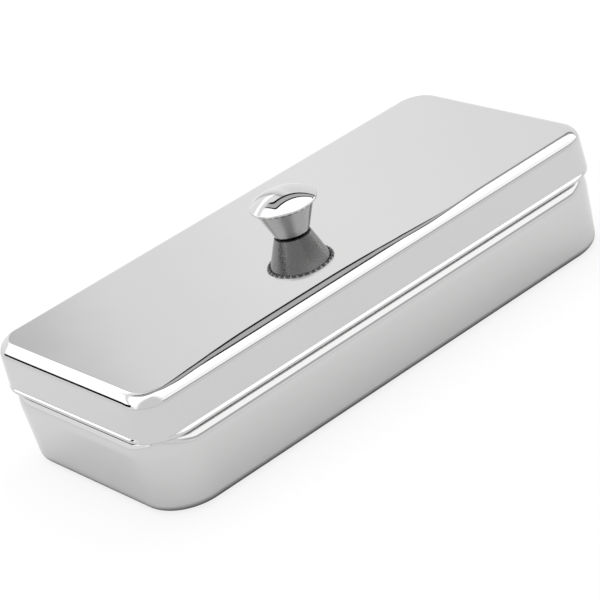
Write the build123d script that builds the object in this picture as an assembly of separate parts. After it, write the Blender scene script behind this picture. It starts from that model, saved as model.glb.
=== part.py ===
from build123d import *
import math
import os

# Lidded instrument box in pressed, mirror-polished stainless steel sheet.
# Millimetres, +Z up, +X along the box. The origin is the middle of the underside, on the table.
# An inset is a distance inside the lid's lower edge, which is the widest part of the box.

# Overall sizes
BOX_LENGTH = 228.6          # over the lid's lower edge, 9 in
BOX_WIDTH = 106.0           # over the lid's lower edge
LID_TOP = 50.0              # flat top of the lid above the table
LID_EDGE = 31.6             # lower edge of the lid above the table
SHEET = 0.7                 # sheet of the tray and the lid
FOLD = 2 * SHEET            # sheet folded back on itself

# Lid
LID_ROUND = 5.2             # rounding between the top and the skirt
SKIRT_INSET = 1.0           # foot of the skirt, above the flare
SKIRT_DRAFT = 0.4           # the skirt's top is this much further in
SKIRT_CORNER = 13.5         # corner radius in plan
FLARE_TOP = 33.9            # the skirt starts to flare outwards here
FLARE_TILT = 50.0           # how far the flare faces upwards, in degrees
FLARE_ROUND = 0.75          # roundings above and below the flare
HEM_ROUND = 0.65

# Tray
RIM_TOP = 46.8              # top of the tray's folded rim, where the lid's rounding rests on it
RIM_HEIGHT = 2.0
BAND_INSET = 2.8            # upright band that the lid goes over
BAND_CORNER = 13.1
SHOULDER_TOP = 30.3         # the wall swells outwards from here
SHOULDER_TILT = 44.0        # how far the shoulder faces upwards, in degrees
SHOULDER_ROUND = 8.0        # rounding between the shoulder and the wall
SHOULDER_HOLLOW = 0.5       # rounding between the shoulder and the band
WALL_INSET = 0.3            # top of the wall
WALL_CORNER = 20.2          # larger corners than the band, so the shoulder fades round them
FOOT_INSET = 1.4            # the wall leans in to here at the bottom rounding
TRAY_ROUND = 4.4            # rounding between the wall and the floor

# Knob
BASE_RADIUS = 7.3
BASE_ROUND = 1.0
CONE_TOP_RADIUS = 12.1
FLANGE_RADIUS = 12.75
FLANGE_Z = LID_TOP + 13.0   # underside of the cup's flange
CUP_SHEET = 0.6
CAP_RADIUS = 13.4
CAP_SHEET = 0.6
DOME_EDGE = 12.7            # where the dome meets the rolled rim
DOME_EDGE_Z = LID_TOP + 14.1
DOME_TOP = LID_TOP + 18.0
LIP_RADIUS = 12.2           # inner edge of the lip folded under the flange
LIP_ROUND_RADIUS = 12.8     # where the rolled rim meets the lip
CRIMPS = 32
GROOVE_WIDTH = 0.8          # between one crimp and the next
GROOVE_DEPTH = 0.3
GROOVE_REACH = 0.5          # from the lip's inner edge

# Rivet and washer
SHANK_RADIUS = 2.0
HOLE_RADIUS = 2.05
HEAD_RADIUS = 4.5
HEAD_HEIGHT = 1.6
TAIL_RADIUS = 3.6
TAIL_HEIGHT = 1.3
WASHER_RADIUS = 7.0
WASHER_HEIGHT = 0.8
EDGE_BREAK = 0.5

FADE = 2 + math.sqrt(2)     # corner radius gained per step outwards, so that the step fades at the corner
DRILL_LENGTH = 10.0         # longer than any hole is deep
WIDE_STEPS = 8
NARROW_STEPS = 3


def outline(z, inset, corner):
    """Rounded rectangle at height z, set in from the lid's lower edge."""
    shape = RectangleRounded(BOX_LENGTH - 2 * inset, BOX_WIDTH - 2 * inset, corner)
    return Pos(0, 0, z) * shape


def tower(stations):
    """Solid through a stack of outlines, each a (z, inset, corner) station."""
    return loft([outline(*station) for station in stations], ruled=True)


def rounding(centre_inset, centre_z, radius, start, end, steps):
    """(inset, z, tilt) points round an arc. A tilt of 0 faces outwards and 90 faces up.
    A hollow has a negative radius."""
    points = []
    for step in range(steps + 1):
        tilt = start + (end - start) * step / steps
        turn = math.radians(tilt)
        points.append((centre_inset - radius * math.cos(turn), centre_z + radius * math.sin(turn), tilt))
    return points


def bent(points, corner, corner_inset, skin):
    """Stations of a rounding that goes evenly round the corners, moved into the sheet by skin.
    The corner radius is given at one inset."""
    stations = []
    for inset, z, tilt in points:
        turn = math.radians(tilt)
        inwards = inset + skin * math.cos(turn)
        stations.append((z - skin * math.sin(turn), inwards, corner + corner_inset - inwards))
    return stations


def fading(points, corner, corner_inset, gain, skin):
    """Stations of a slope that fades towards the corners, moved into the sheet by skin.
    The corner radius is given at one inset, and gains this much per step outwards."""
    stations = []
    for inset, z, tilt in points:
        turn = math.radians(tilt)
        moved = skin * math.cos(turn)
        radius = corner + gain * (corner_inset - inset) - skin + FADE * (skin - moved)
        stations.append((z - skin * math.sin(turn), inset + moved, radius))
    return stations


def tray_stations(skin):
    """The tray's outline from the floor to the rim's foot, moved into the sheet by skin."""
    bottom = rounding(FOOT_INSET + TRAY_ROUND, TRAY_ROUND, TRAY_ROUND, -90, 0, WIDE_STEPS)
    turn = math.radians(SHOULDER_TILT)
    bent_out = (SHOULDER_ROUND + SHOULDER_HOLLOW) * (1 - math.cos(turn))
    slope = BAND_INSET - WALL_INSET - bent_out
    hollow_z = SHOULDER_TOP + SHOULDER_HOLLOW * math.sin(turn)
    round_z = SHOULDER_TOP - slope / math.tan(turn) - SHOULDER_ROUND * math.sin(turn)
    shoulder = rounding(WALL_INSET + SHOULDER_ROUND, round_z, SHOULDER_ROUND, 0, SHOULDER_TILT, WIDE_STEPS)
    shoulder += rounding(BAND_INSET - SHOULDER_HOLLOW, hollow_z, -SHOULDER_HOLLOW, SHOULDER_TILT, 0, NARROW_STEPS)
    gain = (WALL_CORNER - BAND_CORNER) / (BAND_INSET - WALL_INSET)
    stations = bent(bottom, WALL_CORNER, WALL_INSET, skin)
    stations += fading(shoulder, BAND_CORNER, BAND_INSET, gain, skin)
    stations.append((RIM_TOP - RIM_HEIGHT, BAND_INSET + skin, BAND_CORNER - skin))
    return stations


def folded_ring(z, inset, corner, height):
    """Sheet folded back on itself: a ring two sheets thick."""
    ring = extrude(outline(z, inset, corner), height)
    return ring - extrude(outline(z, inset + FOLD, corner - FOLD), height)


def make_tray():
    body = tower(tray_stations(0)) - tower(tray_stations(SHEET))
    rim = folded_ring(RIM_TOP - RIM_HEIGHT, BAND_INSET, BAND_CORNER, RIM_HEIGHT)
    rim = fillet(rim.edges().group_by(Axis.Z)[-1], HEM_ROUND)
    return body + rim


def flare_points():
    """(inset, z, tilt) points of the flare, from the hem's top to the skirt's foot."""
    turn = math.radians(FLARE_TILT)
    bent_out = 2 * FLARE_ROUND * (1 - math.cos(turn))
    slope = SKIRT_INSET - bent_out
    hem_top = FLARE_TOP - 2 * FLARE_ROUND * math.sin(turn) - slope / math.tan(turn)
    flare = rounding(FLARE_ROUND, hem_top, FLARE_ROUND, 0, FLARE_TILT, NARROW_STEPS)
    return flare + rounding(SKIRT_INSET - FLARE_ROUND, FLARE_TOP, -FLARE_ROUND, FLARE_TILT, 0, NARROW_STEPS)


def lid_stations(skin):
    """The lid's outline from the hem's top to the flat top, moved into the sheet by skin."""
    round_inset = SKIRT_INSET + SKIRT_DRAFT + LID_ROUND
    top = rounding(round_inset, LID_TOP - LID_ROUND, LID_ROUND, 0, 90, WIDE_STEPS)
    stations = fading(flare_points(), SKIRT_CORNER, SKIRT_INSET, FADE, skin)
    return stations + bent(top, SKIRT_CORNER, SKIRT_INSET, skin)


def make_lid():
    shell = tower(lid_stations(0)) - tower(lid_stations(SHEET))
    hem_top = flare_points()[0][1]
    edge_corner = SKIRT_CORNER + FADE * SKIRT_INSET
    hem = folded_ring(LID_EDGE, 0, edge_corner, hem_top - LID_EDGE)
    hem = fillet(hem.edges().group_by(Axis.Z)[0], HEM_ROUND)
    rivet_hole = Pos(0, 0, LID_TOP) * Cylinder(HOLE_RADIUS, DRILL_LENGTH)
    return shell + hem - rivet_hole


def turned(edges):
    """Solid of revolution about the knob's axis from closed profile edges."""
    return revolve(make_face(edges), Axis.Z)


def at(radius, z):
    """Point of a turned profile."""
    return (radius, 0, z)


def make_cup():
    base = LID_TOP
    floor = base + CUP_SHEET
    bulge = BASE_ROUND * (1 - math.sqrt(0.5))
    slope = (CONE_TOP_RADIUS - BASE_RADIUS) / (FLANGE_Z - base - BASE_ROUND)
    wall = CUP_SHEET * math.sqrt(1 + slope * slope)
    flange_top = FLANGE_Z + CUP_SHEET
    inner_top = CONE_TOP_RADIUS + slope * CUP_SHEET - wall
    inner_low = BASE_RADIUS - wall
    flat_edge = BASE_RADIUS - BASE_ROUND
    round_top = at(BASE_RADIUS, base + BASE_ROUND)
    profile = [
        Line(at(HOLE_RADIUS, base), at(flat_edge, base)),
        ThreePointArc(at(flat_edge, base), at(BASE_RADIUS - bulge, base + bulge), round_top),
        Line(round_top, at(CONE_TOP_RADIUS, FLANGE_Z)),
        Line(at(CONE_TOP_RADIUS, FLANGE_Z), at(FLANGE_RADIUS, FLANGE_Z)),
        Line(at(FLANGE_RADIUS, FLANGE_Z), at(FLANGE_RADIUS, flange_top)),
        Line(at(FLANGE_RADIUS, flange_top), at(inner_top, flange_top)),
        Line(at(inner_top, flange_top), at(inner_low, base + BASE_ROUND)),
        Line(at(inner_low, base + BASE_ROUND), at(flat_edge, floor)),
        Line(at(flat_edge, floor), at(HOLE_RADIUS, floor)),
        Line(at(HOLE_RADIUS, floor), at(HOLE_RADIUS, base)),
    ]
    return turned(profile)


def dome_height(radius, edge_radius, edge_z, top_z):
    """Height at a radius of the spherical dome through its top and its edge."""
    rise = top_z - edge_z
    sphere = (edge_radius * edge_radius + rise * rise) / (2 * rise)
    return top_z - sphere + math.sqrt(sphere * sphere - radius * radius)


def make_cap():
    lip_z = FLANGE_Z - CAP_SHEET
    inner_edge = CAP_RADIUS - CAP_SHEET
    inner_edge_z = FLANGE_Z + CUP_SHEET
    inner_top = DOME_TOP - CAP_SHEET
    half = DOME_EDGE / 2
    outer_mid = dome_height(half, DOME_EDGE, DOME_EDGE_Z, DOME_TOP)
    inner_mid = dome_height(half, inner_edge, inner_edge_z, inner_top)
    rim_z = (DOME_EDGE_Z + lip_z) / 2
    profile = [
        ThreePointArc(at(0, DOME_TOP), at(half, outer_mid), at(DOME_EDGE, DOME_EDGE_Z)),
        ThreePointArc(at(DOME_EDGE, DOME_EDGE_Z), at(CAP_RADIUS, rim_z), at(LIP_ROUND_RADIUS, lip_z)),
        Line(at(LIP_ROUND_RADIUS, lip_z), at(LIP_RADIUS, lip_z)),
        Line(at(LIP_RADIUS, lip_z), at(LIP_RADIUS, FLANGE_Z)),
        Line(at(LIP_RADIUS, FLANGE_Z), at(inner_edge, FLANGE_Z)),
        Line(at(inner_edge, FLANGE_Z), at(inner_edge, inner_edge_z)),
        ThreePointArc(at(inner_edge, inner_edge_z), at(half, inner_mid), at(0, inner_top)),
        Line(at(0, inner_top), at(0, DOME_TOP)),
    ]
    cap = turned(profile)
    groove = Box(2 * GROOVE_REACH, GROOVE_WIDTH, 2 * GROOVE_DEPTH)
    for step in range(CRIMPS):
        cap -= Rot(0, 0, 360 * step / CRIMPS) * Pos(LIP_RADIUS, 0, lip_z) * groove
    return cap


def make_rivet():
    washer_bottom = LID_TOP - SHEET - WASHER_HEIGHT
    head_bottom = LID_TOP + CUP_SHEET
    stack = head_bottom - washer_bottom
    shank = Pos(0, 0, washer_bottom + stack / 2) * Cylinder(SHANK_RADIUS, stack)
    head = Pos(0, 0, head_bottom + HEAD_HEIGHT / 2) * Cylinder(HEAD_RADIUS, HEAD_HEIGHT)
    head = fillet(head.edges().group_by(Axis.Z)[-1], EDGE_BREAK)
    tail = Pos(0, 0, washer_bottom - TAIL_HEIGHT / 2) * Cylinder(TAIL_RADIUS, TAIL_HEIGHT)
    tail = fillet(tail.edges().group_by(Axis.Z)[0], EDGE_BREAK)
    return shank + head + tail


def make_washer():
    disc = Pos(0, 0, LID_TOP - SHEET - WASHER_HEIGHT / 2) * Cylinder(WASHER_RADIUS, WASHER_HEIGHT)
    return disc - Pos(0, 0, LID_TOP) * Cylinder(HOLE_RADIUS, DRILL_LENGTH)


PARTS = {
    "tray_body": make_tray,
    "lid_shell": make_lid,
    "knob_cup": make_cup,
    "knob_cap": make_cap,
    "knob_rivet": make_rivet,
    "rivet_washer": make_washer,
}

os.makedirs("parts", exist_ok=True)
for name, make in PARTS.items():
    export_step(make(), f"parts/{name}.step")
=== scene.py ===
import math
from typing import NamedTuple

import bmesh
import bpy
from bpy.props import FloatProperty, FloatVectorProperty, IntProperty, PointerProperty
from mathutils import Matrix, Vector


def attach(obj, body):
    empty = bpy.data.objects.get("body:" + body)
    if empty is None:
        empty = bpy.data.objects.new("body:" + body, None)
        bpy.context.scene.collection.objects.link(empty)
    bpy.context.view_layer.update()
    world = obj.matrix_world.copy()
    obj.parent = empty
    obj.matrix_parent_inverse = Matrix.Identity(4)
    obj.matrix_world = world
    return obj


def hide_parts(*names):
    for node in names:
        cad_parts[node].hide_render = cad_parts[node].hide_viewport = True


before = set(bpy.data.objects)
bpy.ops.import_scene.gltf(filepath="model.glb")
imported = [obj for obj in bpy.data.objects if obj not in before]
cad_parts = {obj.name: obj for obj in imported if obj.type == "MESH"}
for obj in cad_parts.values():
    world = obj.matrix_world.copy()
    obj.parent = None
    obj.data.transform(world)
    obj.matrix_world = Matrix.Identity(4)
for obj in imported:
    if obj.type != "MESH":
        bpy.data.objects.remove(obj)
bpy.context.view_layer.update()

bl_info = {
    "name": "Lidded instrument box",
    "version": (1, 0, 0),
    "blender": (4, 5, 0),
    "location": "3D View > Sidebar > Instrument box",
    "description": "A pressed steel instrument box with a lift-off lid and a small domed knob",
    "category": "Object",
}

MM = 0.001
FADE = 2 + math.sqrt(2)     # corner radius gained per step outwards, so that the step fades at the corner
QUARTER = math.pi / 2
CORNER_STEPS = 32
WIDE_STEPS = 24
NARROW_STEPS = 8
FOLD_STEPS = 12
ROLL_STEPS = 16
DOME_STEPS = 24
UNDER_STEPS = 12            # under the dome, which nobody sees
CUP_STEPS = 128
CRIMP_STEPS = 6             # for each crimp round the cap
HOLE_STEPS = 48
SUPPORT = 0.08 * MM         # narrow strip beside a fold, which keeps its neighbour flat
LEDGE = 0.04 * MM           # slope across the cut edge of a fold, and the least step of a profile
SHARP = math.radians(40)    # edges that turn more than this stay crisp
MERGE_REACH = 0.0001 * MM   # vertices closer than this become one
CUT_REACH = 0.01 * MM       # vertices closer than this to a cut lie on it
CORNER_ROOM = 2 * MM        # from the end of a corner to the loop across the straight side
WALL_LOOPS = (0.03, 0.3, 0.6, 0.85, 0.97)   # where a wall has loops, as shares of its height
FLAT_LOOPS = (0.1, 0.9, 2, 3)               # from each loop of a flat to the next, in millimetres


# Sizes, finishes and studio

def length(name, millimetres, description):
    """A length property, given in millimetres."""
    return FloatProperty(name=name, description=description, default=millimetres * MM, unit="LENGTH",
                         precision=5)


def angle(name, degrees, description):
    """An angle property, given in degrees."""
    return FloatProperty(name=name, description=description, default=math.radians(degrees), subtype="ANGLE")


def share(name, default, description):
    """A property from 0 to 1."""
    return FloatProperty(name=name, description=description, default=default, min=0, max=1, subtype="FACTOR")


class LidSizes(bpy.types.PropertyGroup):
    length: length("Length", 228.6, "Over the lid's lower edge")
    width: length("Width", 106.0, "Over the lid's lower edge")
    sheet: length("Sheet", 0.7, "Thickness of the steel sheet")
    top: length("Top", 50.0, "Height of the lid's flat top above the table")
    edge: length("Lower edge", 31.6, "Height of the lid's lower edge above the table")
    top_round: length("Top rounding", 5.2, "Rounding between the top and the skirt")
    skirt_inset: length("Skirt inset", 1.0, "Foot of the skirt, inside the lower edge")
    skirt_draft: length("Skirt draft", 0.4, "How much further in the skirt's top is")
    skirt_corner: length("Skirt corner", 13.5, "Corner radius of the skirt in plan")
    flare_top: length("Flare top", 33.9, "Height where the skirt starts to flare")
    flare_tilt: angle("Flare tilt", 50, "How far the flare faces upwards")
    flare_round: length("Flare rounding", 0.75, "Roundings above and below the flare")


class TraySizes(bpy.types.PropertyGroup):
    rim_top: length("Rim top", 46.8, "Height of the folded rim above the table")
    rim_height: length("Rim fold", 2.0, "How far the rim is folded down inside")
    band_inset: length("Band inset", 2.8, "The upright band, inside the lid's lower edge")
    band_corner: length("Band corner", 13.1, "Corner radius of the band in plan")
    shoulder_top: length("Shoulder top", 30.3, "Height where the shoulder meets the band")
    shoulder_tilt: angle("Shoulder tilt", 44, "How far the shoulder faces upwards")
    shoulder_round: length("Shoulder rounding", 8.0, "Rounding between the shoulder and the wall")
    shoulder_hollow: length("Shoulder hollow", 0.5, "Rounding between the shoulder and the band")
    wall_inset: length("Wall inset", 0.3, "Top of the wall, inside the lid's lower edge")
    wall_corner: length("Wall corner", 20.2, "Corner radius of the wall in plan")
    foot_inset: length("Foot inset", 1.4, "Bottom of the wall, inside the lid's lower edge")
    floor_round: length("Floor rounding", 4.4, "Rounding between the wall and the floor")


class KnobSizes(bpy.types.PropertyGroup):
    sheet: length("Sheet", 0.6, "Thickness of the cup and the cap")
    hole_radius: length("Hole radius", 2.05, "Hole for the rivet")
    base_radius: length("Base radius", 7.3, "Radius of the cup's foot")
    base_round: length("Base rounding", 1.0, "Rounding of the cup's foot")
    cone_radius: length("Cone radius", 12.1, "Radius of the cone's wide end")
    flange_radius: length("Flange radius", 12.7, "Radius of the flange that holds the cap")
    flange_height: length("Flange height", 13.0, "Underside of the flange above the lid")
    cap_radius: length("Cap radius", 13.4, "Radius of the cap's rolled rim")
    roll_radius: length("Roll radius", 0.82, "Radius of the rolled rim in section")
    dome_radius: length("Dome radius", 12.7, "Where the dome is at its edge height")
    dome_edge: length("Dome edge", 14.1, "Height of the dome's edge above the lid")
    dome_top: length("Dome top", 18.0, "Height of the dome's top above the lid")
    lip_radius: length("Lip radius", 12.2, "Inner edge of the lip folded under the flange")
    crimps: IntProperty(name="Crimps", description="Crimps round the lip", default=32, min=8)
    crimp_depth: length("Crimp depth", 0.3, "How far each crimp is pressed in")


class SteelFinish(bpy.types.PropertyGroup):
    colour: FloatVectorProperty(name="Colour", description="Colour of the bare steel", size=3,
                                subtype="COLOR", default=(0.605, 0.605, 0.603), min=0, max=1)
    polished: share("Polished roughness", 0.03, "Roughness of the mirror-polished outside")
    inside: share("Inside roughness", 0.17, "Roughness of the inside")
    spun: share("Cup roughness", 0.16, "Roughness of the knob's spun cup")
    # Painted shade: the knob's cup is painted darker than the rest of the steel
    painted_cup_shade: share("Cup shade", 0.52, "Shade of the knob's cup beside the polished steel")
    plain: share("Rivet roughness", 0.3, "Roughness of the rivet and its washer")
    # Painted shade: how dark the steel is painted between the crimps and under the cap's rolled rim
    painted_rim_shade: share("Residue shade", 0.12, "Shade of the polish left between the crimps")
    # Painted contact shadow at the foot of the knob, where it meets the lid
    painted_foot_shadow: share("Foot shade", 0.06, "Shade of the polish left at the foot of the knob")


class StudioSettings(bpy.types.PropertyGroup):
    floor_colour: FloatVectorProperty(name="Floor colour", description="Colour of the pale floor", size=3,
                                      subtype="COLOR", default=(0.86, 0.86, 0.86), min=0, max=1)
    lamp_power: FloatProperty(name="Lamp power", description="Power of the soft lamp overhead", default=9.0,
                              subtype="POWER")
    lamp_face: FloatProperty(name="Lamp face", description="Brightness of the lamp's face, seen in the steel",
                             default=1.9)
    lamp_frame: FloatProperty(name="Lamp frame", description="Brightness of the lamp's grey frame",
                              default=0.66)
    flag_place: FloatVectorProperty(name="Flag place", description="Middle of the black flag", size=3,
                                    subtype="TRANSLATION", default=(-0.166, 0.06, 0.062))
    flag_turn: angle("Flag turn", 90, "Direction of the flag's length")


# Node trees

class Value:
    """A number socket that can be used in Python arithmetic. Each operation adds a Math node."""

    def __init__(self, shader, socket):
        self.shader = shader
        self.socket = socket

    def math(self, operation, *inputs):
        return self.shader.add("ShaderNodeMath", {"operation": operation}, dict(enumerate(inputs)))

    def __add__(self, other):
        return self.math("ADD", self, other)

    def __radd__(self, other):
        return self.math("ADD", other, self)

    def __sub__(self, other):
        return self.math("SUBTRACT", self, other)

    def __rsub__(self, other):
        return self.math("SUBTRACT", other, self)

    def __mul__(self, other):
        return self.math("MULTIPLY", self, other)

    def __rmul__(self, other):
        return self.math("MULTIPLY", other, self)

    def __truediv__(self, other):
        return self.math("DIVIDE", self, other)

    def __abs__(self):
        return self.math("ABSOLUTE", self)

    def larger(self, other):
        return self.math("MAXIMUM", self, other)

    def distance(self, other):
        """How far away a point is, from its distances along two axes."""
        return self.math("SQRT", self * self + other * other)

    def rise(self, low, high):
        """0 below low, 1 above high, and smooth between them."""
        return self.shader.add("ShaderNodeMapRange", {"interpolation_type": "SMOOTHSTEP"},
                               {"Value": self, "From Min": low, "From Max": high})

    def ramp(self, low, high):
        """0 below low, 1 above high, and straight between them."""
        return self.shader.add("ShaderNodeMapRange", {"interpolation_type": "LINEAR", "clamp": True},
                               {"Value": self, "From Min": low, "From Max": high})

    def band(self, low, high, edge):
        """1 between low and high, 0 outside, with soft edges."""
        return self.rise(low - edge, low + edge) * (1 - self.rise(high - edge, high + edge))


class Shader:
    """One node tree, built from Python."""

    def __init__(self, tree):
        self.tree = tree
        tree.nodes.clear()

    def add(self, kind, settings=None, values=None, output=0):
        """Adds a node, sets it up, fills its sockets and returns one of its outputs."""
        node = self.tree.nodes.new(kind)
        for name, setting in (settings or {}).items():
            setattr(node, name, setting)
        for name, value in (values or {}).items():
            if isinstance(value, Value):
                self.tree.links.new(value.socket, node.inputs[name])
            else:
                node.inputs[name].default_value = value
        return Value(self, node.outputs[output]) if node.outputs else None

    def outputs(self, kind, names, values=None):
        """Adds a node and returns several of its outputs."""
        node = self.add(kind, {}, values, output=names[0]).socket.node
        return [Value(self, node.outputs[name]) for name in names]

    def object_place(self):
        return self.add("ShaderNodeTexCoord", output="Object")

    def axes(self, place, names):
        """The named coordinates of a place."""
        return self.outputs("ShaderNodeSeparateXYZ", names, {0: place})

    def rays(self):
        """Whether a ray comes from the camera, from a reflection, or through something clear."""
        return self.outputs("ShaderNodeLightPath", ["Is Camera Ray", "Is Glossy Ray", "Is Transmission Ray"])

    def attribute(self, name):
        return self.add("ShaderNodeAttribute", {"attribute_name": name}, output="Fac")

    def mix(self, mask, first, second):
        """A number that runs from first to second as mask goes from 0 to 1."""
        return self.add("ShaderNodeMix", {"data_type": "FLOAT"}, {0: mask, 2: first, 3: second})

    def mix_colours(self, mask, first, second):
        return self.add("ShaderNodeMix", {"data_type": "RGBA"}, {0: mask, 6: first, 7: second}, output=2)

    def shades(self, mask, colour, first, second):
        """A colour whose shade runs from first to second as mask goes from 0 to 1."""
        return self.mix_colours(mask, tinted(colour, first), tinted(colour, second))

    def noise(self, place, size, detail=2.0, stretch=(1, 1, 1)):
        """Noise from 0 to 1. Its features are about size across, and stretch lengthens them."""
        spread = self.add("ShaderNodeMapping", {},
                          {"Vector": place, "Scale": [1 / (size * along) for along in stretch]})
        return self.add("ShaderNodeTexNoise", {"noise_dimensions": "3D"},
                        {"Vector": spread, "Scale": 1.0, "Detail": detail, "Roughness": 0.5})

    def bump(self, height, distance, normal=None):
        values = {"Height": height, "Distance": distance, "Strength": 1.0}
        if normal is not None:
            values["Normal"] = normal
        return self.add("ShaderNodeBump", {}, values)


def tinted(colour, factor):
    """The colour, lighter or darker by a factor."""
    return [min(channel * factor, 1.0) for channel in colour] + [1.0]


def new_material(name):
    """A new material, and the shader that builds its tree."""
    material = bpy.data.materials.new(name)
    material.use_nodes = True
    return material, Shader(material.node_tree)


def finish_metal(shader, colour, roughness, normal):
    """Puts a metal surface on the tree's output."""
    surface = shader.add("ShaderNodeBsdfPrincipled", {},
                         {"Base Color": colour, "Metallic": 1.0, "Roughness": roughness, "Normal": normal})
    shader.add("ShaderNodeOutputMaterial", {}, {"Surface": surface})


class Roll(NamedTuple):
    """The early roll along one long edge of the lid's top. The pairs are places along the lid. The lead, the
    delays and the widths are measured across the edge, from the end of the flat. All of these are in
    millimetres, and the rest is how far the surface normal is pushed outwards."""
    lead: float = 2.1
    left: tuple = (-106, -58)
    left_delay: float = 3.5
    right: tuple = (-22, 58)
    right_delay: float = 4.8
    kink: float = 0.222
    kink_width: float = 1.0
    sweep: float = 0.088
    sweep_width: float = 2.4
    recovery: float = 0.5
    recovery_width: float = 2.9
    rebound: float = 0.19
    rebound_width: float = 4.5
    fade_in: tuple = (-110, -92)
    fade_out: tuple = (24, 60)


def rolled_normal(shader, place, lid):
    """The surface normal of the lid. Its top rolls over early along one long edge, most of all left of the
    middle, where the press has drawn the sheet down."""
    roll = Roll()
    normal = shader.add("ShaderNodeNewGeometry", output="Normal")
    along, across = shader.axes(place, ["X", "Y"])
    flat_edge = lid.width / 2 - lid.skirt_inset - lid.skirt_draft - lid.top_round
    past = (0 - across - flat_edge) / MM
    place_along = along / MM
    delay = roll.left_delay * (1 - place_along.rise(*roll.left))
    delay = delay + roll.right_delay * place_along.rise(*roll.right)
    onset = delay - roll.lead
    pushed = past.rise(onset - roll.kink_width, onset) * roll.kink
    pushed = pushed + past.ramp(onset, onset + roll.sweep_width) * roll.sweep
    pushed = pushed - past.ramp(0, roll.recovery_width) * roll.recovery
    pushed = pushed + past.rise(roll.recovery_width, roll.rebound_width) * roll.rebound
    reach = place_along.rise(*roll.fade_in) * (1 - place_along.rise(*roll.fade_out))
    push = shader.add("ShaderNodeCombineXYZ", {}, {"Y": (0 - pushed) * reach})
    moved = shader.add("ShaderNodeVectorMath", {"operation": "ADD"}, {0: normal, 1: push})
    return shader.add("ShaderNodeVectorMath", {"operation": "NORMALIZE"}, {0: moved})


def mirror_steel(finish, lid=None):
    """Mirror-polished sheet: faint waves from the press, fine buffing marks, scuffed edges, and painted shade
    between the crimps and under the knob's rolled rim. The lid's sheet also has its rolled edge."""
    shader = new_material("lid_mirror_steel" if lid else "mirror_steel")[1]
    place = shader.object_place()
    wear = shader.attribute("wear")
    painted_shade = shader.attribute("painted_shade")
    waves = shader.noise(place, 45 * MM, detail=1.0)
    cloud = shader.noise(place, 110 * MM)
    marks = shader.noise(place, 0.4 * MM, detail=3.0, stretch=(30, 1, 1))
    scuffs = shader.noise(place, 1.1 * MM, detail=4.0).rise(0.56, 0.7) * wear
    tone = shader.shades(cloud, finish.colour, 0.98, 1.02)
    colour = shader.mix_colours(scuffs * 0.35, tone, tinted(finish.colour, 1.12))
    # Painted shade: darkens the steel between the crimps and under the knob's rolled rim
    colour = shader.mix_colours(painted_shade, colour, tinted(finish.colour, finish.painted_rim_shade))
    base = finish.polished
    roughness = base + marks * (0.4 * base) + cloud * (0.3 * base) + scuffs * 0.09 + wear * 0.01
    rolled = rolled_normal(shader, place, lid) if lid else None
    pressed = shader.bump(waves, 0.2 * MM, rolled)
    finish_metal(shader, colour, roughness, shader.bump(marks, 0.0005 * MM, pressed))


def spun_steel(finish):
    """The knob's cup: a duller satin with fine rings from spinning, painted darker than the rest of the steel
    as a painted shade, with a painted contact shadow at its foot.
    """
    shader = new_material("spun_steel")[1]
    place = shader.object_place()
    rings = shader.noise(place, 0.5 * MM, detail=3.0, stretch=(40, 40, 1))
    cloud = shader.noise(place, 9 * MM, detail=3.0)
    # Painted shade: the cup's steel is painted darker than the polished steel
    colour = shader.shades(cloud, finish.colour, finish.painted_cup_shade * 0.9, finish.painted_cup_shade * 1.1)
    # Painted contact shadow at the cup's foot, where it meets the lid
    painted_shade = shader.attribute("painted_shade")
    colour = shader.mix_colours(painted_shade, colour, tinted(finish.colour, finish.painted_foot_shadow))
    roughness = finish.spun + rings * 0.08 + cloud * 0.06
    finish_metal(shader, colour, roughness, shader.bump(rings, 0.001 * MM))


def drawn_steel(finish):
    """The inside of the box: cleaned but less polished, with long rubbing lines."""
    shader = new_material("drawn_steel")[1]
    place = shader.object_place()
    lines = shader.noise(place, 0.6 * MM, detail=3.0, stretch=(40, 1, 1))
    cloud = shader.noise(place, 70 * MM, detail=3.0)
    colour = shader.shades(cloud, finish.colour, 0.93, 1.0)
    roughness = finish.inside + lines * 0.08 + cloud * 0.05
    finish_metal(shader, colour, roughness, shader.bump(lines, 0.006 * MM))


def headed_steel(finish):
    """Plain turned wire: fine rings from the heading tool and a dull grain."""
    shader = new_material("headed_steel")[1]
    place = shader.object_place()
    x, y = shader.axes(place, ["X", "Y"])
    radius = x.distance(y)
    grain = shader.noise(place, 0.7 * MM, detail=3.0)
    ring_width = 0.45 * MM
    turn = radius * (2 * math.pi / ring_width) + grain * 3
    rings = turn.math("SINE", turn) * 0.5 + 0.5
    colour = shader.shades(grain, finish.colour, 0.8, 0.95)
    roughness = finish.plain + grain * 0.12 + rings * 0.05
    finish_metal(shader, colour, roughness, shader.bump(grain * 0.6 + rings * 0.4, 0.01 * MM))


def steel(name):
    """One of the steel finishes, which have to be made first."""
    material = bpy.data.materials.get(name)
    if material is None:
        raise RuntimeError("make the steel finishes first")
    return material


# Pressed shapes

class Station(NamedTuple):
    """One level outline of a pressed sheet. Wear and inside run from 0 to 1."""
    z: float
    inset: float
    corner: float
    wear: float
    inside: float


def rounding(centre_inset, centre_z, radius, start, end, steps=WIDE_STEPS):
    """(inset, z, tilt) points round an arc. A tilt of 0 faces outwards and a quarter turn faces up.
    A hollow has a negative radius."""
    points = []
    for step in range(steps + 1):
        tilt = start + (end - start) * step / steps
        points.append((centre_inset - radius * math.cos(tilt), centre_z + radius * math.sin(tilt), tilt))
    return points


def bent(points, corner, corner_inset, skin, wear):
    """Stations that go evenly round the corners, moved into the sheet by skin.
    The corner radius is given at one inset."""
    stations = []
    for inset, z, tilt in points:
        moved = inset + skin * math.cos(tilt)
        height = z - skin * math.sin(tilt)
        stations.append(Station(height, moved, corner + corner_inset - moved, wear, float(skin > 0)))
    return stations


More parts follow.
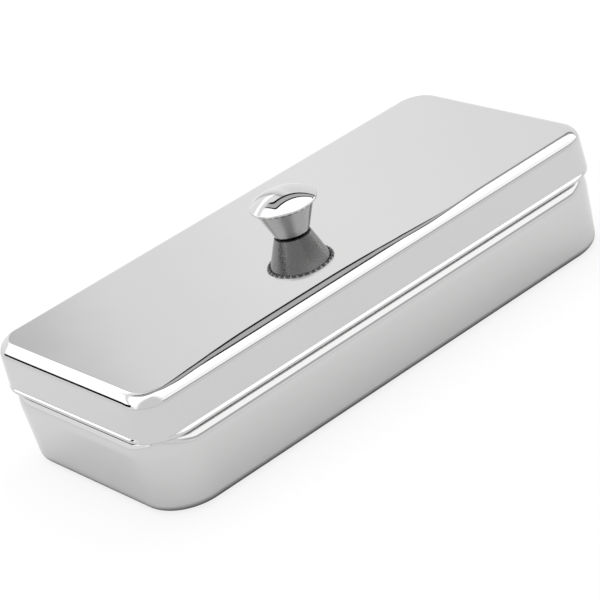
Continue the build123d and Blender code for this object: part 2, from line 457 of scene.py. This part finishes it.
def fading(points, corner, corner_inset, gain, skin, wear):
    """Stations of a slope that fades towards the corners, moved into the sheet by skin.
    The corner radius is given at one inset, and gains this much per step outwards."""
    stations = []
    for inset, z, tilt in points:
        inwards = skin * math.cos(tilt)
        height = z - skin * math.sin(tilt)
        radius = corner + gain * (corner_inset - inset) - skin + FADE * (skin - inwards)
        stations.append(Station(height, inset + inwards, radius, wear, float(skin > 0)))
    return stations


def wall_between(low, high):
    """The stations of a straight wall from one station to another. It's hardly worn."""
    low = low._replace(wear=0.1)
    high = high._replace(wear=0.1)
    return [Station(*(a + (b - a) * part for a, b in zip(low, high))) for part in WALL_LOOPS]


def thinned(stations):
    """The stations without those that nearly touch the one before."""
    kept = stations[:1]
    for station in stations[1:]:
        if math.hypot(station.z - kept[-1].z, station.inset - kept[-1].inset) > LEDGE:
            kept.append(station)
    return kept


def tray_face(tray, skin):
    """The tray's stations from the floor to the rim's foot, moved into the sheet by skin."""
    tilt = tray.shoulder_tilt
    bent_out = (tray.shoulder_round + tray.shoulder_hollow) * (1 - math.cos(tilt))
    slope = tray.band_inset - tray.wall_inset - bent_out
    hollow_z = tray.shoulder_top + tray.shoulder_hollow * math.sin(tilt)
    round_z = tray.shoulder_top - slope / math.tan(tilt) - tray.shoulder_round * math.sin(tilt)
    lean = math.atan2(tray.foot_inset - tray.wall_inset, round_z - tray.floor_round)
    bottom = rounding(tray.foot_inset + tray.floor_round, tray.floor_round, tray.floor_round, -QUARTER, -lean)
    shoulder = rounding(tray.wall_inset + tray.shoulder_round, round_z, tray.shoulder_round, -lean, tilt)
    hollow = rounding(tray.band_inset - tray.shoulder_hollow, hollow_z, -tray.shoulder_hollow, tilt, 0,
                      NARROW_STEPS)
    rim_foot = [(tray.band_inset, tray.rim_top - tray.rim_height, 0)]
    gain = (tray.wall_corner - tray.band_corner) / (tray.band_inset - tray.wall_inset)
    below = bent(bottom, tray.wall_corner, tray.wall_inset, skin, wear=0.4)
    above = fading(shoulder, tray.band_corner, tray.band_inset, gain, skin, wear=0.3)
    above += fading(hollow, tray.band_corner, tray.band_inset, gain, skin, wear=0.1)
    above += bent(rim_foot, tray.band_corner, tray.band_inset, skin, wear=0.3)
    return below + wall_between(below[-1], above[0]) + above


def tray_stations(lid, tray):
    """All of the tray's skin: up the outside, over the folded rim and down the inside."""
    fold = lid.sheet
    rim = rounding(tray.band_inset + fold, tray.rim_top - fold, fold, 0, 2 * QUARTER, FOLD_STEPS)
    fold_foot = tray.rim_top - tray.rim_height
    leaf = [(tray.band_inset + 2 * fold, fold_foot + 2 * LEDGE, 0)]
    around = bent(rim, tray.band_corner, tray.band_inset, skin=0, wear=1.0)
    around += bent(leaf, tray.band_corner, tray.band_inset, skin=0, wear=0.6)
    inner = tray_face(tray, fold)
    return thinned(tray_face(tray, 0) + around + inner[::-1])


def lid_face(lid, skin):
    """The lid's stations from the flat top to the top of the hem, moved into the sheet by skin."""
    tilt = lid.flare_tilt
    round_inset = lid.skirt_inset + lid.skirt_draft + lid.top_round
    draft = math.atan2(lid.skirt_draft, lid.top - lid.top_round - lid.flare_top)
    top = rounding(round_inset, lid.top - lid.top_round, lid.top_round, QUARTER, draft)
    top = bent(top, lid.skirt_corner, lid.skirt_inset, skin, wear=0.35)
    slope = lid.skirt_inset - 2 * lid.flare_round * (1 - math.cos(tilt))
    hem_top = lid.flare_top - 2 * lid.flare_round * math.sin(tilt) - slope / math.tan(tilt)
    flare = rounding(lid.skirt_inset - lid.flare_round, lid.flare_top, -lid.flare_round, draft, tilt,
                     NARROW_STEPS)
    bead = rounding(lid.flare_round, hem_top, lid.flare_round, tilt, 0, NARROW_STEPS)
    low = fading(flare, lid.skirt_corner, lid.skirt_inset, FADE, skin, wear=0.3)
    low += fading(bead, lid.skirt_corner, lid.skirt_inset, FADE, skin, wear=0.7)
    return top + wall_between(top[-1], low[0]) + low


def lid_stations(lid):
    """All of the lid's skin: down the outside, round the hem and up the inside."""
    fold = lid.sheet
    outer = lid_face(lid, 0)
    inner = lid_face(lid, fold)
    hem_top = outer[-1].z
    hem = rounding(fold, lid.edge + fold, fold, 0, -2 * QUARTER, FOLD_STEPS)
    leaf = [(2 * fold, hem_top - LEDGE / 2, 0)]
    around = bent(hem, outer[-1].corner, corner_inset=0, skin=0, wear=1.0)
    around += bent(leaf, outer[-1].corner, corner_inset=0, skin=0, wear=0.6)
    return thinned(outer + around + inner[::-1])


def outline(bm, lid, station):
    """One level rounded rectangle. Returns its vertices in a face of their own."""
    corners = bmesh.ops.create_grid(bm, x_segments=1, y_segments=1, size=1.0)["verts"]
    half = (lid.length / 2 - station.inset, lid.width / 2 - station.inset, 1)
    bmesh.ops.scale(bm, verts=corners, vec=half)
    bmesh.ops.translate(bm, verts=corners, vec=(0, 0, station.z))
    bevelled = bmesh.ops.bevel(bm, geom=corners, offset=station.corner, offset_type="OFFSET",
                               segments=CORNER_STEPS, profile=0.5, affect="VERTICES", material=-1,
                               clamp_overlap=False)
    return bevelled["verts"]


def pressed_skin(bm, lid, stations):
    """A closed skin through a stack of outlines. Returns the middles of its two flats."""
    wear = bm.verts.layers.float.new("wear")
    rings = []
    for station in stations:
        verts = outline(bm, lid, station)
        for vert in verts:
            vert[wear] = station.wear
        face = verts[0].link_faces[0]
        edges = list(face.edges)
        bmesh.ops.delete(bm, geom=[face], context="FACES_ONLY")
        if rings:
            bridge = bmesh.ops.bridge_loops(bm, edges=rings[-1] + edges)
            for new_face in bridge["faces"]:
                new_face.material_index = int(station.inside)
        rings.append(edges)
    return [close_end(bm, ring) for ring in (rings[0], rings[-1])]


def close_end(bm, ring):
    """Closes a skin with a flat, and adds loops inside its edge. Returns the middle of the flat."""
    middle = bmesh.ops.contextual_create(bm, geom=ring)["faces"]
    for reach in FLAT_LOOPS:
        bmesh.ops.inset_individual(bm, faces=middle, thickness=reach * MM, depth=0, use_even_offset=True)
    return middle[0]


def cut_across(bm, axis, places):
    """Adds loops on planes across an axis."""
    for place in places:
        point = Vector((0, 0, 0))
        normal = Vector((0, 0, 0))
        point[axis] = place
        normal[axis] = 1
        bmesh.ops.bisect_plane(bm, geom=bm.verts[:] + bm.edges[:] + bm.faces[:], dist=CUT_REACH,
                               plane_co=point, plane_no=normal)


def support_corners(bm, lid, corner):
    """Adds loops across the straight sides near the corners, so that the sides reflect as straight ones."""
    reach_x = lid.length / 2 - corner - CORNER_ROOM
    reach_y = lid.width / 2 - corner - CORNER_ROOM
    cut_across(bm, 0, (-reach_x, reach_x))
    cut_across(bm, 1, (-reach_y, reach_y))


def made_object(bm, name):
    """Turns the shape into an object in the scene."""
    mesh = bpy.data.meshes.new(name)
    bm.to_mesh(mesh)
    bm.free()
    made = bpy.data.objects.new(name, mesh)
    bpy.context.scene.collection.objects.link(made)
    return made


def link_piece(bm, name, body, node, materials):
    """Finishes a closed skin as a piece that rides on its body and stands for its CAD node."""
    bmesh.ops.remove_doubles(bm, verts=bm.verts, dist=MERGE_REACH)
    bmesh.ops.recalc_face_normals(bm, faces=bm.faces)
    for face in bm.faces:
        face.smooth = True
    piece = made_object(bm, name)
    piece.data.set_sharp_from_angle(angle=SHARP)
    for material in materials:
        piece.data.materials.append(material)
    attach(piece, body)
    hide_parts(node)


def make_tray(lid, tray):
    """The tray: polished outside, and rubbed but duller inside."""
    bm = bmesh.new()
    pressed_skin(bm, lid, tray_stations(lid, tray))
    support_corners(bm, lid, tray.wall_corner)
    link_piece(bm, "steel_tray", "tray", "tray_body", [steel("mirror_steel"), steel("drawn_steel")])


def make_lid(lid, knob):
    """The lid, with the rivet's hole through the middle of its top."""
    bm = bmesh.new()
    rims = []
    for middle, height in zip(pressed_skin(bm, lid, lid_stations(lid)), (lid.top, lid.top - lid.sheet)):
        hole = bmesh.ops.create_circle(bm, cap_ends=False, segments=HOLE_STEPS,
                                       radius=knob.hole_radius)["verts"]
        bmesh.ops.translate(bm, verts=hole, vec=(0, 0, height))
        rim = list({edge for vert in hole for edge in vert.link_edges})
        edges = list(middle.edges) + rim
        bmesh.ops.delete(bm, geom=[middle], context="FACES_ONLY")
        bmesh.ops.triangle_fill(bm, use_beauty=True, edges=edges)
        rims += rim
    bmesh.ops.bridge_loops(bm, edges=rims)
    support_corners(bm, lid, lid.skirt_corner + FADE * lid.skirt_inset)
    link_piece(bm, "steel_lid", "lid", "lid_shell", [steel("lid_mirror_steel"), steel("drawn_steel")])


def turned_skin(bm, points, wears, closed, steps):
    """Spins a profile of (radius, z) points about the knob's axis."""
    wear = bm.verts.layers.float.new("wear")
    verts = []
    for (radius, z), worn in zip(points, wears):
        vert = bm.verts.new((radius, 0, z))
        vert[wear] = worn
        verts.append(vert)
    pairs = list(zip(verts, verts[1:]))
    if closed:
        pairs.append((verts[-1], verts[0]))
    edges = [bm.edges.new(pair) for pair in pairs]
    bmesh.ops.spin(bm, geom=verts + edges, cent=(0, 0, 0), axis=(0, 0, 1), dvec=(0, 0, 0), angle=2 * math.pi,
                   steps=steps, use_merge=True, use_duplicate=False)


def profile(points):
    """(radius, z) points from a rounding whose insets are negative radii."""
    return [(-inset, z) for inset, z, tilt in points]


def part_way(start, end, shares):
    """Profile points part of the way along a line."""
    return [(start[0] + (end[0] - start[0]) * part, start[1] + (end[1] - start[1]) * part) for part in shares]


def make_knob_cup(lid, knob):
    """The pressed cone, from its rivet hole round the outside and back down the inside."""
    bm = bmesh.new()
    low = lid.top
    sheet = knob.sheet
    flange = low + knob.flange_height
    lean = math.atan2(knob.cone_radius - knob.base_radius, knob.flange_height - knob.base_round)
    foot_radius = knob.base_radius - knob.base_round
    foot = rounding(-foot_radius, low + knob.base_round, knob.base_round, -QUARTER, -lean, FOLD_STEPS)
    foot = profile(foot)
    cone_top = (knob.cone_radius, flange)
    points = [(knob.hole_radius, low), (foot_radius - SUPPORT, low)] + foot
    points += part_way(foot[-1], cone_top, (0.02, 0.3, 0.7, 0.98, 1))
    points += [(knob.cone_radius + SUPPORT, flange), (knob.flange_radius, flange)]
    points += [(knob.flange_radius, flange + sheet)]
    points += [(knob.cone_radius - sheet, flange + sheet), (foot_radius, low + sheet + SUPPORT)]
    points += [(foot_radius - SUPPORT, low + sheet), (knob.hole_radius, low + sheet)]
    turned_skin(bm, points, [0.6] * len(points), closed=True, steps=CUP_STEPS)
    painted_shade = bm.verts.layers.float.new("painted_shade")
    # Painted contact shadow on the cup's foot, where it meets the lid
    painted_shadow_top = low + 0.7 * knob.base_round
    for vert in bm.verts:
        vert[painted_shade] = float(vert.co.z < painted_shadow_top)
    link_piece(bm, "steel_knob_cup", "lid", "knob_cup", [steel("spun_steel")])


def dome_arc(sphere, centre, reach, steps):
    """(radius, z) points from the top of a dome to its edge."""
    return [(sphere * math.sin(reach * step / steps), centre + sphere * math.cos(reach * step / steps))
            for step in range(steps + 1)]


def make_knob_cap(lid, knob):
    """The domed cap: over the dome, round its rolled rim and back inside it, with crimps in the lip."""
    bm = bmesh.new()
    low = lid.top
    rise = knob.dome_top - knob.dome_edge
    sphere = (knob.dome_radius ** 2 + rise ** 2) / (2 * rise)
    centre = low + knob.dome_top - sphere
    lip_z = low + knob.flange_height - knob.sheet
    roll = knob.roll_radius
    roll_x = knob.cap_radius - roll
    roll_z = lip_z + roll
    reach = math.asin(roll_x / (sphere - roll))
    dome = dome_arc(sphere, centre, reach, DOME_STEPS)
    rolled = profile(rounding(-roll_x, roll_z, roll, QUARTER - reach, -QUARTER, ROLL_STEPS))[1:]
    flange = low + knob.flange_height
    inner = knob.cap_radius - knob.sheet
    lip_slope = 0.3 * MM
    lip = [(knob.lip_radius + lip_slope, lip_z), (knob.lip_radius + SUPPORT, lip_z)]
    lip += [(knob.lip_radius, lip_z + SUPPORT), (knob.lip_radius, flange)]
    lip += [(inner, flange), (inner, flange + knob.sheet)]
    under = dome_arc(sphere - knob.sheet, centre, reach, UNDER_STEPS)[-2::-1]
    points = dome + rolled + lip + under
    wears = [0.25] * len(dome) + [0.8] * len(rolled) + [0.6] * (len(lip) + len(under))
    turned_skin(bm, points, wears, closed=False, steps=knob.crimps * CRIMP_STEPS)
    press_crimps(bm, knob, lip_z)
    link_piece(bm, "steel_knob_cap", "lid", "knob_cap", [steel("mirror_steel")])


def press_crimps(bm, knob, lip_z):
    """Presses the lip up between one crimp and the next, and paints shade there and under the rim."""
    painted_shade = bm.verts.layers.float.new("painted_shade")
    roll = knob.roll_radius
    for vert in bm.verts:
        radius = math.hypot(vert.co.x, vert.co.y)
        crest = max(0.0, math.cos(math.atan2(vert.co.y, vert.co.x) * knob.crimps))
        if abs(vert.co.z - lip_z) < 2 * SUPPORT and radius < knob.cap_radius - roll:
            # Painted shade in the pressed hollows between the crimps
            vert[painted_shade] = 0.95 * (1 - crest)
            bmesh.ops.translate(bm, verts=[vert], vec=(0, 0, 0.9 * knob.crimp_depth * (1 - crest)))
        elif vert.co.z < lip_z + 0.75 * roll:
            # Painted shade under the rolled rim
            vert[painted_shade] = 0.9 * (1 - crest ** 2)


# Studio

LOWEST = 0.02               # height of the lowest direction that the lamps reach
DARK_WALL = 0.72
BRIGHT_WALL = 1.15
WALL_BORDERS = (            # where each wall begins and is full, from left to right, and its brightness
    ((0.37, 0.43), 1.05),
    ((0.42, 0.5), BRIGHT_WALL),
    ((0.5, 0.6), 1.06),
)
FRONT_EDGE = 0.9            # brightness of what stands on the near side, from high to low
FRONT_LAMP = 1.5
FRONT_FOOT = 0.62
FRONT_WALL = 1.0
CAMERA_SIDE = 0.95          # brightness of the room round the camera
LOW_LEFT = 1.12             # brightness low down behind the box, to the left
ROOM = 0.9                  # brightness of the room for rays that aren't reflections
FLOOR_HALF = 4.0
PAINTED_SHADOW_HALF = (0.092, 0.031)   # straight part of the painted contact shadow under the box's foot, seen in the steel
PAINTED_SHADOW_CORNER = 0.0175
PAINTED_SHADOW_REACH = 0.008
PAINTED_SHADOW_SHADE = 0.3
MIRRORED_TONE = 0.93        # shade of the floor in the steel
FLOOR_GLOW = 0.8            # how much the floor shines by itself for the camera
MIRRORED_GLOW = 0.08
FLAG_SIZE = (0.17, 0.016)


def surroundings_level(shader, studio):
    """How bright each direction is, as the steel sees it: a broad white lamp in a grey frame with dark seams,
    a white wall lamp behind, and pale walls. Places overhead are given across and back, as shares of the
    height."""
    place = shader.add("ShaderNodeTexCoord", output="Generated")
    x, y, z = shader.axes(place, ["X", "Y", "Z"])
    height = z.larger(LOWEST)
    across = x / height
    back = y / height
    wall = DARK_WALL
    for border, beyond in WALL_BORDERS:
        wall = shader.mix(x.rise(*border), wall, beyond)
    wall = shader.mix(x.rise(0.3, 0.36), BRIGHT_WALL, wall)
    depth = place.math("SMOOTH_MIN", (back - 0.3) / 0.4, (across + 0.1) / 0.24, 0.5)
    seamed = shader.mix(depth.band(0.17, 0.7, 0.04), 0.0, studio.lamp_frame)
    level = shader.mix(depth.rise(0.98, 1.04), seamed, wall)
    level = shader.mix(depth.rise(-0.02, 0.02), studio.lamp_face, level)
    behind_frame = back.rise(0.75, 1.05) * (1 - across.rise(0.2, 0.45))
    level = shader.mix(behind_frame, level, BRIGHT_WALL)
    wall_lamp = back.rise(1.25, 1.35) * (1 - across.rise(0.5, 0.8)) * (1 - y.rise(0.84, 0.88))
    level = shader.mix(wall_lamp, level, studio.lamp_face)
    low_front = 1 - back.rise(-2.6, -2.5)
    front = 1 - back.rise(-1.0, -0.96)
    level = shader.mix(front, level, shader.mix(back.rise(-1.04, -1.0), FRONT_LAMP, FRONT_EDGE))
    level = shader.mix(low_front, level, shader.mix(back.rise(-6.0, -4.5), FRONT_WALL, FRONT_FOOT))
    camera_side = (1 - x.rise(-0.2, 0.1)) * (1 - y.rise(-0.2, 0.1))
    level = shader.mix(camera_side, level, CAMERA_SIDE)
    below = (1 - z.rise(0.24, 0.28)) * y.rise(-0.1, 0.2) * (1 - x.rise(-0.1, 0.2))
    return shader.mix(below, level, LOW_LEFT)


def make_surroundings(studio):
    """The world: white to the camera, even to the floor, and the studio as the steel sees it."""
    world = bpy.data.worlds.new("studio")
    bpy.context.scene.world = world
    world.use_nodes = True
    shader = Shader(world.node_tree)
    level = surroundings_level(shader, studio)
    camera, glossy, through = shader.rays()
    seen = shader.mix(glossy, ROOM, level)
    seen = shader.mix(camera.larger(through), seen, 1.0)
    background = shader.add("ShaderNodeBackground", {}, {"Color": (1, 1, 1, 1), "Strength": seen})
    shader.add("ShaderNodeOutputWorld", {}, {"Surface": background})


def make_floor(studio):
    """A wide pale floor. It looks plain white, with the box's soft shadow on it. In the steel it is greyer,
    and a painted contact shadow makes it dark close to the box."""
    bm = bmesh.new()
    bmesh.ops.create_grid(bm, x_segments=4, y_segments=4, size=FLOOR_HALF)
    floor = made_object(bm, "floor")
    material, shader = new_material("pale_floor")
    camera, glossy, through = shader.rays()
    x, y = shader.axes(shader.object_place(), ["X", "Y"])
    beside = (abs(x) - PAINTED_SHADOW_HALF[0]).larger(0)
    before = (abs(y) - PAINTED_SHADOW_HALF[1]).larger(0)
    away = beside.distance(before) - PAINTED_SHADOW_CORNER
    # Painted contact shadow close to the box, seen only in the steel
    painted_shadow = (1 - away.rise(0.0, PAINTED_SHADOW_REACH)) * glossy
    tone = [channel * MIRRORED_TONE for channel in studio.floor_colour]
    seen = shader.mix_colours(glossy, (*studio.floor_colour, 1), (*tone, 1))
    colour = shader.mix_colours(painted_shadow, seen, [channel * PAINTED_SHADOW_SHADE for channel in tone] + [1])
    paper = shader.add("ShaderNodeBsdfDiffuse", {}, {"Color": colour})
    white = shader.add("ShaderNodeEmission", {}, {"Color": (1, 1, 1, 1), "Strength": 1.0})
    lit = camera.larger(through) * FLOOR_GLOW + glossy * (1 - painted_shadow) * MIRRORED_GLOW
    surface = shader.add("ShaderNodeMixShader", {}, {0: lit, 1: paper, 2: white})
    shader.add("ShaderNodeOutputMaterial", {}, {"Surface": surface})
    floor.data.materials.append(material)


def make_flag(studio):
    """A narrow black flag low down to the left, which draws the dark line along the lid's short end."""
    bm = bmesh.new()
    bmesh.ops.create_grid(bm, x_segments=6, y_segments=1, size=0.5)
    bmesh.ops.scale(bm, verts=bm.verts, vec=(*FLAG_SIZE, 1))
    turn = Matrix.Rotation(studio.flag_turn, 4, "Z") @ Matrix.Rotation(QUARTER, 4, "X")
    bmesh.ops.transform(bm, verts=bm.verts, matrix=Matrix.Translation(studio.flag_place) @ turn)
    flag = made_object(bm, "flag")
    material, shader = new_material("black_cloth")
    weave = shader.noise(shader.object_place(), 0.8 * MM)
    colour = shader.mix_colours(weave, (0.001, 0.001, 0.001, 1), (0.004, 0.004, 0.004, 1))
    surface = shader.add("ShaderNodeBsdfDiffuse", {}, {"Color": colour})
    shader.add("ShaderNodeOutputMaterial", {}, {"Surface": surface})
    flag.data.materials.append(material)
    flag.visible_camera = False
    flag.visible_diffuse = False
    flag.visible_shadow = False


def make_lamp(studio):
    """The soft lamp that lays the shadow on the floor."""
    light = bpy.data.lights.new("soft_lamp", "AREA")
    light.shape = "RECTANGLE"
    light.size = 1.4
    light.size_y = 1.0
    light.energy = studio.lamp_power
    lamp = bpy.data.objects.new("soft_lamp", light)
    lamp.location = (0.15, 0.25, 1.3)
    lamp.rotation_euler = (-0.18, 0.1, 0)
    lamp.visible_glossy = False
    lamp.visible_camera = False
    bpy.context.scene.collection.objects.link(lamp)


def make_camera():
    """The camera, above the box's near corner."""
    data = bpy.data.cameras.new("camera")
    data.sensor_width = 36
    data.lens = 151.18
    data.clip_start = 0.01
    data.clip_end = 20
    camera = bpy.data.objects.new("camera", data)
    camera.location = (-0.47095, -0.7381, 0.44877)
    camera.rotation_euler = [math.radians(turn) for turn in (62.9927, 14.8971, -39.7119)]
    bpy.context.scene.collection.objects.link(camera)
    bpy.context.scene.camera = camera


# Operators and panel

class StudioOperator(bpy.types.Operator):
    """Makes the camera, the pale floor, the lamp, the black flag and the surroundings that the steel shows"""
    bl_idname = "instrument_box.studio"
    bl_label = "Make the studio"

    def execute(self, context):
        context.scene.view_settings.view_transform = "Standard"
        studio = context.scene.box_studio
        make_camera()
        make_floor(studio)
        make_surroundings(studio)
        make_lamp(studio)
        make_flag(studio)
        return {"FINISHED"}


class SteelOperator(bpy.types.Operator):
    """Makes the steel of the outside, the inside, the knob's cup and the rivet"""
    bl_idname = "instrument_box.steel"
    bl_label = "Make the steel finishes"

    def execute(self, context):
        finish = context.scene.box_finish
        mirror_steel(finish)
        mirror_steel(finish, context.scene.box_lid)
        spun_steel(finish)
        drawn_steel(finish)
        headed_steel(finish)
        return {"FINISHED"}


class TrayOperator(bpy.types.Operator):
    """Makes the pressed tray with its shoulder and folded rim"""
    bl_idname = "instrument_box.tray"
    bl_label = "Make the tray"

    def execute(self, context):
        make_tray(context.scene.box_lid, context.scene.box_tray)
        return {"FINISHED"}


class LidOperator(bpy.types.Operator):
    """Makes the pressed lid with its skirt, flare and hem"""
    bl_idname = "instrument_box.lid"
    bl_label = "Make the lid"

    def execute(self, context):
        make_lid(context.scene.box_lid, context.scene.box_knob)
        return {"FINISHED"}


class KnobOperator(bpy.types.Operator):
    """Makes the knob's pressed cup and its crimped, domed cap"""
    bl_idname = "instrument_box.knob"
    bl_label = "Make the knob"

    def execute(self, context):
        make_knob_cup(context.scene.box_lid, context.scene.box_knob)
        make_knob_cap(context.scene.box_lid, context.scene.box_knob)
        return {"FINISHED"}


class RivetOperator(bpy.types.Operator):
    """Gives the rivet and its washer their plain steel"""
    bl_idname = "instrument_box.rivet"
    bl_label = "Finish the rivet"

    def execute(self, context):
        for node in ("knob_rivet", "rivet_washer"):
            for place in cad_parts[node].material_slots:
                place.material = steel("headed_steel")
        return {"FINISHED"}


STEPS = (StudioOperator, SteelOperator, TrayOperator, LidOperator, KnobOperator, RivetOperator)
GROUPS = {
    "box_lid": LidSizes,
    "box_tray": TraySizes,
    "box_knob": KnobSizes,
    "box_finish": SteelFinish,
    "box_studio": StudioSettings,
}


class BoxPanel(bpy.types.Panel):
    """Lists the steps that make the box"""
    bl_idname = "VIEW3D_PT_instrument_box"
    bl_label = "Instrument box"
    bl_space_type = "VIEW_3D"
    bl_region_type = "UI"
    bl_category = "Instrument box"

    def draw(self, context):
        for step in STEPS:
            self.layout.operator(step.bl_idname)


def register():
    for name, group in GROUPS.items():
        bpy.utils.register_class(group)
        setattr(bpy.types.Scene, name, PointerProperty(type=group))
    for step in STEPS:
        bpy.utils.register_class(step)
    bpy.utils.register_class(BoxPanel)


def unregister():
    bpy.utils.unregister_class(BoxPanel)
    for step in reversed(STEPS):
        bpy.utils.unregister_class(step)
    for name, group in reversed(GROUPS.items()):
        delattr(bpy.types.Scene, name)
        bpy.utils.unregister_class(group)


def main():
    register()
    bpy.ops.instrument_box.studio()
    bpy.ops.instrument_box.steel()
    bpy.ops.instrument_box.tray()
    bpy.ops.instrument_box.lid()
    bpy.ops.instrument_box.knob()
    bpy.ops.instrument_box.rivet()


if __name__ == "__main__":
    main()
